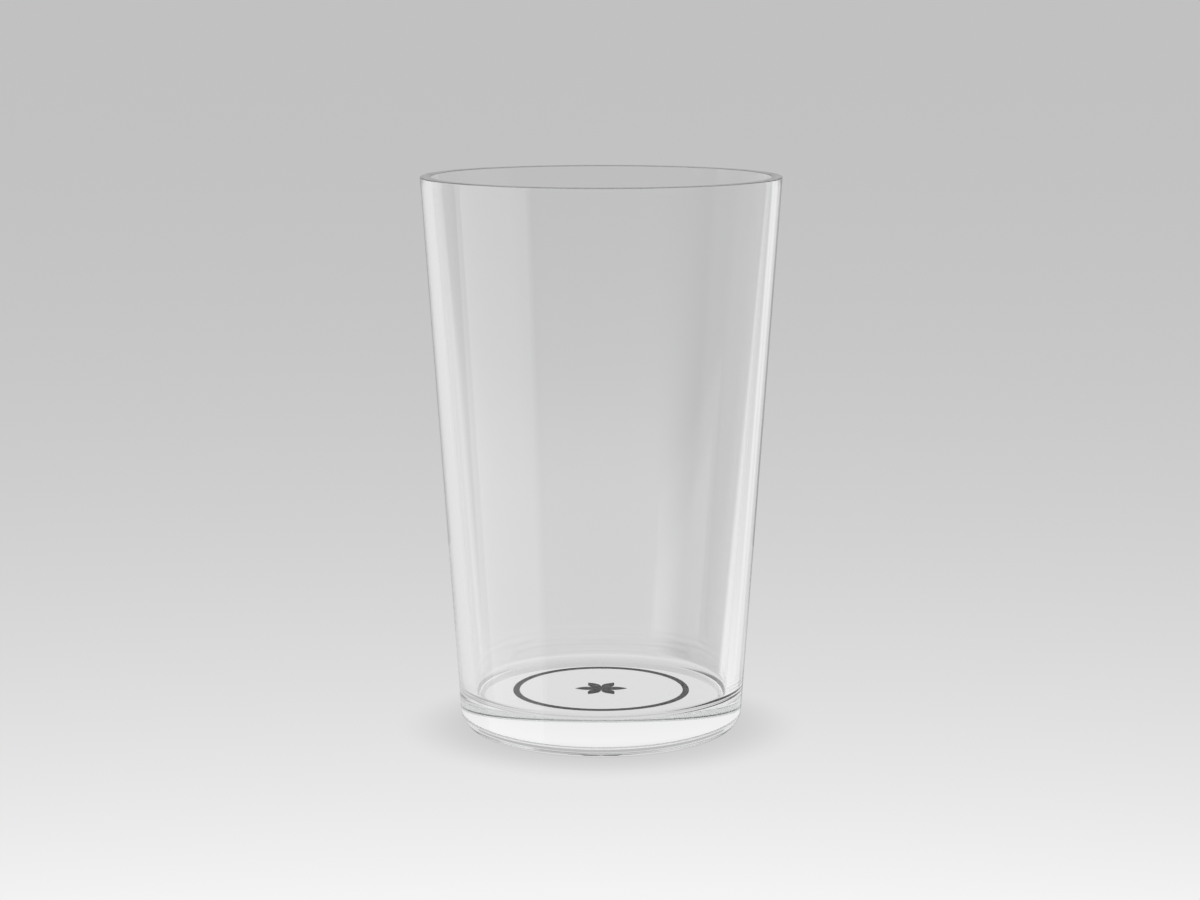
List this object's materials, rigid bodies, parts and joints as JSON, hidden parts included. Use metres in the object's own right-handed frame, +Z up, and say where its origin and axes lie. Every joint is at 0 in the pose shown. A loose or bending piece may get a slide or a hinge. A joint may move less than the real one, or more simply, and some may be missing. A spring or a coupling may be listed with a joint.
{
  "type": "pint glass",
  "caption": "Conical pint glass: clear, thick-floored, straight tapered wall, round fire-polished lip, plain enamel print on the floor. For beer and other cold drinks.",
  "frame": {"origin": "centre of the foot, on the plane the glass stands on", "axes": "+Z up, along the axis of the glass, from the foot to the open rim"},
  "size_m": [0.0892, 0.0892, 0.139],
  "materials": {
    "clear_glass": "clear, fire-polished, colourless soda-lime",
    "enamel_ink": "dark grey ceramic ink, fired to a soft gloss"
  },
  "bodies": {
    "root": {"glass_body": "clear_glass", "print_ring": "enamel_ink", "print_rosette": "enamel_ink"}
  },
  "joints": []
}
